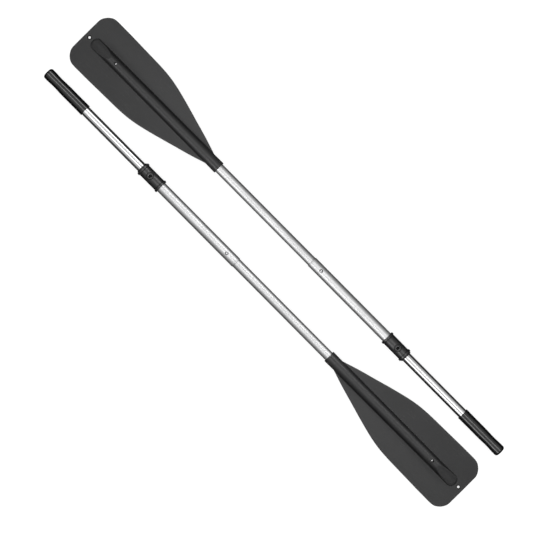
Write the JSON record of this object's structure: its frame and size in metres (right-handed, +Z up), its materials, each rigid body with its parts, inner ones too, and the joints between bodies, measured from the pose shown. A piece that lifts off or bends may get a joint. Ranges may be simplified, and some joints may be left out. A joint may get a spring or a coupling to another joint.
{
  "type": "kayak paddle",
  "caption": "Take-apart kayak paddle as separate oar halves: flat blade with tube spine, aluminium shaft tubes locked by snap buttons, flanged collar and hand grip.",
  "frame": {"origin": "on the ground between the two halves, at the centre of their 2-fold symmetry", "axes": "+X along the shafts from half A's blade to half A's grip, +Z up, spine side of the blades up"},
  "size_m": [1.4528, 0.2886, 0.0368],
  "materials": {
    "blade_plastic": "moulded, fine matt grain",
    "foam": "closed-cell foam",
    "satin_aluminium": "satin drawn",
    "polished_aluminium": "bright drawn",
    "plug_plastic": "moulded",
    "button_steel": "bright",
    "button_dark": "black coated",
    "collar_plastic": "semi-gloss moulded",
    "grip_plastic": "gloss moulded"
  },
  "bodies": {
    "shaft_a": {"sleeve_tube_a": "satin_aluminium", "collar_a": "collar_plastic"},
    "blade_section_a": {"blade_a": "blade_plastic", "float_plug_a": "foam", "lower_tube_a": "satin_aluminium", "lower_tube_plug_a": "plug_plastic"},
    "grip_section_a": {"upper_tube_a": "polished_aluminium", "upper_tube_plug_a": "plug_plastic", "grip_a": "grip_plastic"},
    "lower_button_a": {"lower_snap_button_a": "button_steel"},
    "upper_button_a": {"upper_snap_button_a": "button_dark"},
    "shaft_b": {"sleeve_tube_b": "satin_aluminium", "collar_b": "collar_plastic"},
    "blade_section_b": {"blade_b": "blade_plastic", "float_plug_b": "foam", "lower_tube_b": "satin_aluminium", "lower_tube_plug_b": "plug_plastic"},
    "grip_section_b": {"upper_tube_b": "polished_aluminium", "upper_tube_plug_b": "plug_plastic", "grip_b": "grip_plastic"},
    "lower_button_b": {"lower_snap_button_b": "button_steel"},
    "upper_button_b": {"upper_snap_button_b": "button_dark"}
  },
  "joints": [
    {"name": "blade_section_pull_a", "type": "slide", "parent": "shaft_a", "child": "blade_section_a", "axis": [-1, 0, 0], "range_m": [0, 0.13], "deforming": ["lower_snap_button_a"]},
    {"name": "grip_section_pull_a", "type": "slide", "parent": "shaft_a", "child": "grip_section_a", "axis": [1, 0, 0], "range_m": [0, 0.13], "deforming": ["upper_snap_button_a"]},
    {"name": "lower_button_press_a", "type": "slide", "parent": "blade_section_a", "child": "lower_button_a", "axis": [0, 0, -1], "range_m": [0, 0.004], "stiffness_N_per_m": 300, "springref_m": -0.002, "deforming": ["lower_snap_button_a"]},
    {"name": "upper_button_press_a", "type": "slide", "parent": "grip_section_a", "child": "upper_button_a", "axis": [0, 0, -1], "range_m": [0, 0.0048], "stiffness_N_per_m": 300, "springref_m": -0.002, "deforming": ["upper_snap_button_a"]},
    {"name": "half_b_lift", "type": "slide", "parent": "shaft_a", "child": "shaft_b", "axis": [0, 0, 1], "range_m": [0, 0.3]},
    {"name": "blade_section_pull_b", "type": "slide", "parent": "shaft_b", "child": "blade_section_b", "axis": [1, 0, 0], "range_m": [0, 0.13], "deforming": ["lower_snap_button_b"]},
    {"name": "grip_section_pull_b", "type": "slide", "parent": "shaft_b", "child": "grip_section_b", "axis": [-1, 0, 0], "range_m": [0, 0.13], "deforming": ["upper_snap_button_b"]},
    {"name": "lower_button_press_b", "type": "slide", "parent": "blade_section_b", "child": "lower_button_b", "axis": [0, 0, -1], "range_m": [0, 0.004], "stiffness_N_per_m": 300, "springref_m": -0.002, "deforming": ["lower_snap_button_b"]},
    {"name": "upper_button_press_b", "type": "slide", "parent": "grip_section_b", "child": "upper_button_b", "axis": [0, 0, -1], "range_m": [0, 0.0048], "stiffness_N_per_m": 300, "springref_m": -0.002, "deforming": ["upper_snap_button_b"]}
  ]
}
